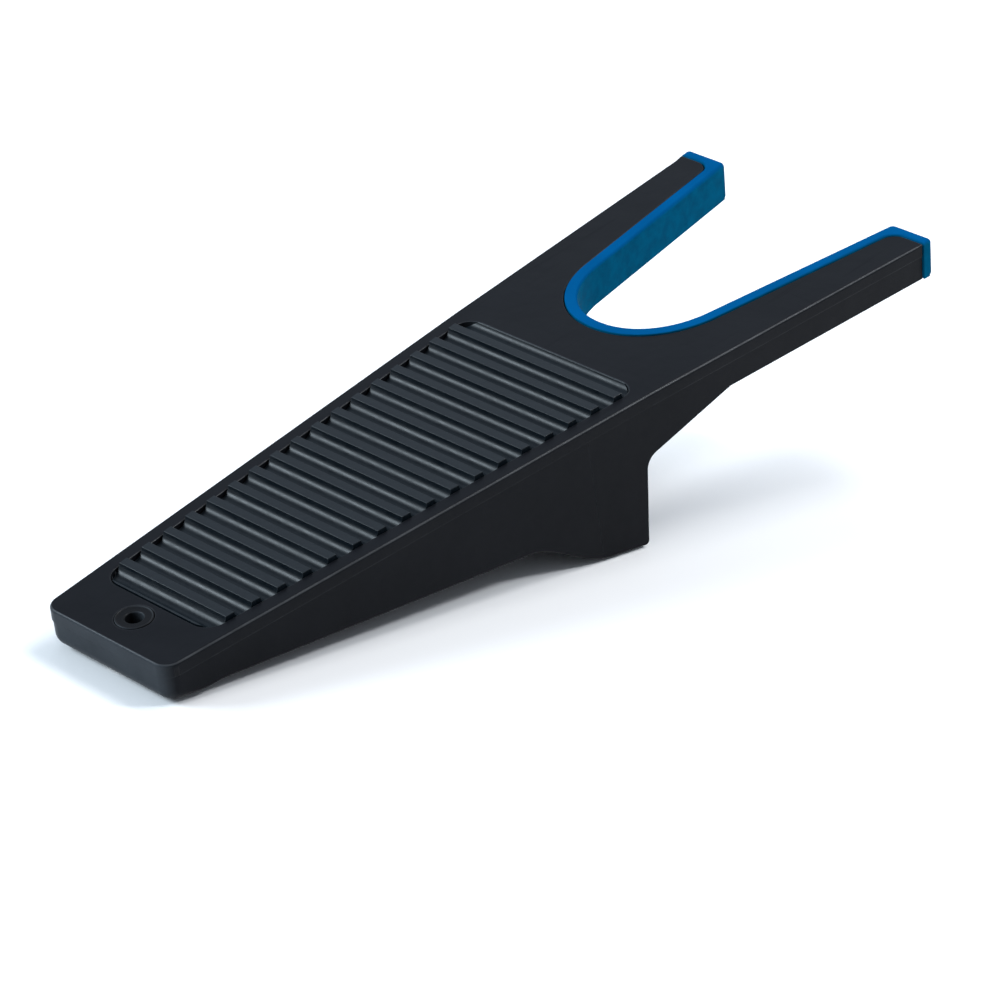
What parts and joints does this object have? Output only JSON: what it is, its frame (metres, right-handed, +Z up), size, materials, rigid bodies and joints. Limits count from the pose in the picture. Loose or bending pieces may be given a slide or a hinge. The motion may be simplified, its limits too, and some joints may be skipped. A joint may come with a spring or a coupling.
{
  "type": "boot jack",
  "caption": "Wedge-shaped boot jack: flared plastic body with a forked end, soft jaw liner, ribbed tread mat, hanging eyelet and rubber feet.",
  "frame": {"origin": "on the floor, in the middle of the footprint's bounding box", "axes": "+Y from the heel end to the fork, +X to the right when looking that way, +Z up"},
  "size_m": [0.1146, 0.3428, 0.0883],
  "materials": {
    "black_plastic": "satin moulded, very fine grain",
    "blue_rubber": "soft satin elastomer",
    "slate_rubber": "semi-matt elastomer",
    "eyelet_plastic": "satin",
    "foot_rubber": "matt"
  },
  "bodies": {
    "root": {"body_shell": "black_plastic", "jaw_liner": "blue_rubber", "tread_mat": "slate_rubber", "hang_eyelet": "eyelet_plastic", "heel_foot_left": "foot_rubber", "heel_foot_right": "foot_rubber", "front_foot_left": "foot_rubber", "front_foot_right": "foot_rubber"}
  },
  "joints": []
}
